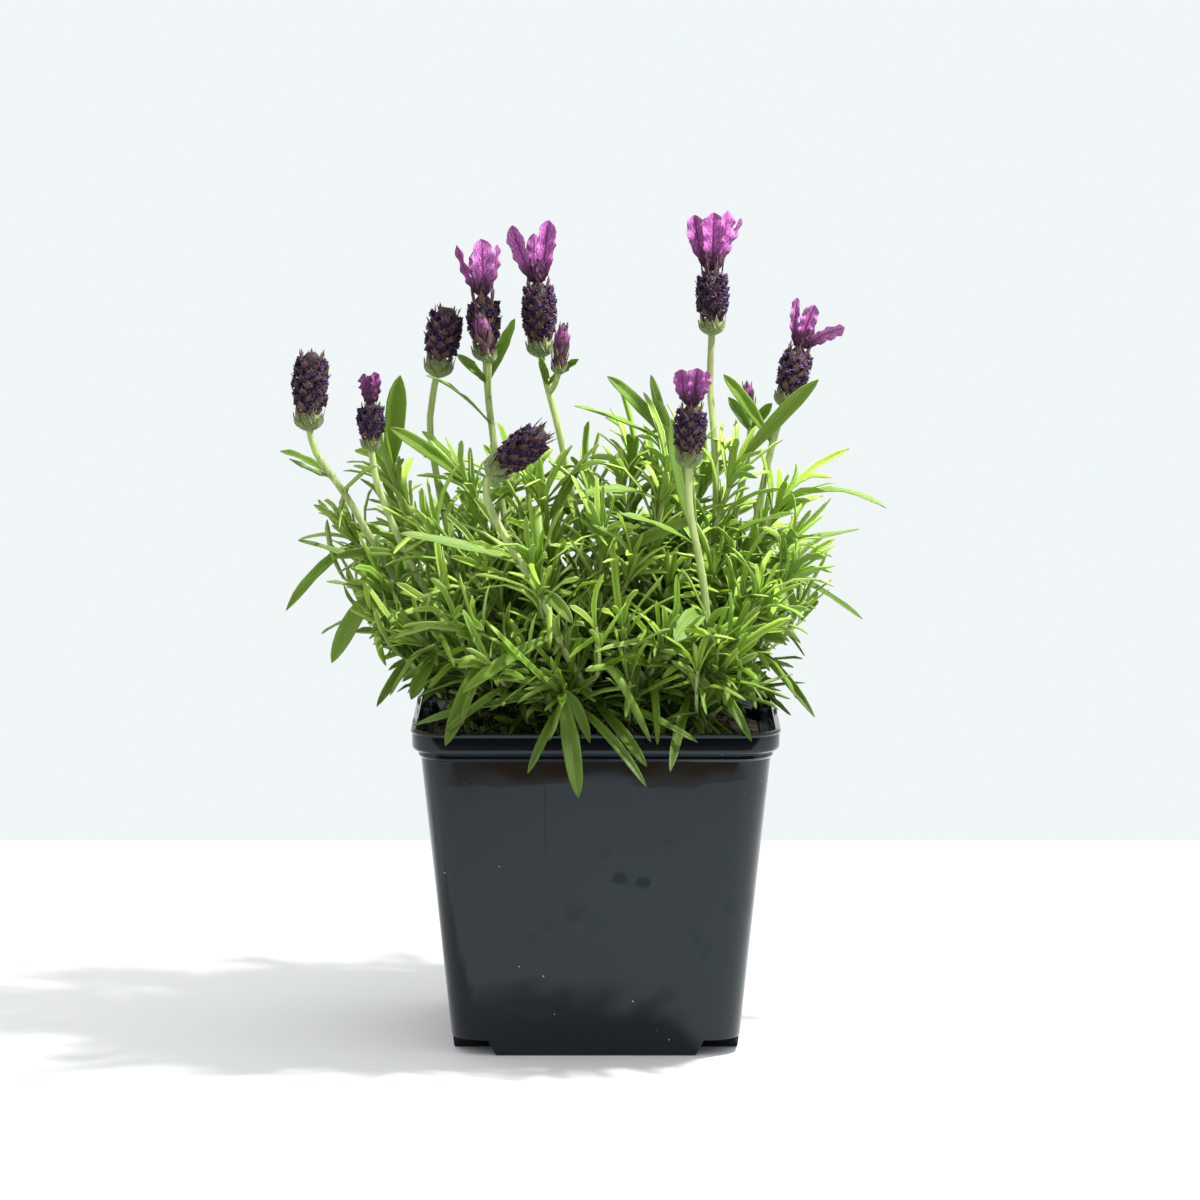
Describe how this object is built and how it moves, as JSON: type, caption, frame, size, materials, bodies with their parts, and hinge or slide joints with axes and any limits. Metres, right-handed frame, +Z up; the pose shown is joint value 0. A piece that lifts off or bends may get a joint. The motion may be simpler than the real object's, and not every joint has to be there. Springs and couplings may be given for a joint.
{
  "type": "potted lavender",
  "caption": "Young lavender with cone-shaped flower heads on upright stems over narrow leafy shoots, in a tapered square nursery pot.",
  "frame": {"origin": "on the ground, under the middle of the pot's base", "axes": "+Z up along the pot's axis, +X to the right and -Y to the front of the pictured view"},
  "size_m": [0.22, 0.1655, 0.3],
  "materials": {
    "pot": "satin moulded plastic",
    "soil": "rough potting mix",
    "flower_stem": "matt and downy",
    "shoot": "matt, downy leaf",
    "flower_head": "matt scales",
    "bract": "thin satin petal"
  },
  "bodies": {
    "root": {"pot": "pot", "soil": "soil", "flower_stem_01": "flower_stem", "flower_stem_02": "flower_stem", "flower_stem_03": "flower_stem", "flower_stem_04": "flower_stem", "flower_stem_06": "flower_stem", "flower_stem_08": "flower_stem", "flower_stem_09": "flower_stem", "flower_stem_10": "flower_stem", "flower_stem_11": "flower_stem", "flower_stem_12": "flower_stem", "flower_head_01": "flower_head", "flower_head_02": "flower_head", "flower_head_03": "flower_head", "flower_head_04": "flower_head", "flower_head_05": "flower_head", "flower_head_06": "flower_head", "flower_head_07": "flower_head", "flower_head_08": "flower_head", "flower_head_09": "flower_head", "flower_head_10": "flower_head", "flower_head_11": "flower_head", "flower_head_12": "flower_head", "bract_crown_02": "bract", "bract_crown_04": "bract", "bract_crown_06": "bract", "bract_crown_09": "bract", "bract_crown_10": "bract", "bract_crown_11": "bract", "leafy_shoot_01": "shoot", "leafy_shoot_02": "shoot", "leafy_shoot_03": "shoot", "leafy_shoot_04": "shoot", "leafy_shoot_05": "shoot", "leafy_shoot_06": "shoot", "leafy_shoot_07": "shoot", "leafy_shoot_08": "shoot", "leafy_shoot_09": "shoot", "leafy_shoot_10": "shoot", "leafy_shoot_11": "shoot", "leafy_shoot_12": "shoot", "leafy_shoot_13": "shoot", "leafy_shoot_14": "shoot", "leafy_shoot_15": "shoot", "leafy_shoot_16": "shoot", "leafy_shoot_17": "shoot", "leafy_shoot_18": "shoot", "leafy_shoot_19": "shoot", "leafy_shoot_20": "shoot", "leafy_shoot_21": "shoot", "leafy_shoot_22": "shoot", "leafy_shoot_23": "shoot", "leafy_shoot_24": "shoot", "leafy_shoot_25": "shoot", "leafy_shoot_26": "shoot", "leafy_shoot_27": "shoot", "leafy_shoot_28": "shoot"}
  },
  "joints": []
}
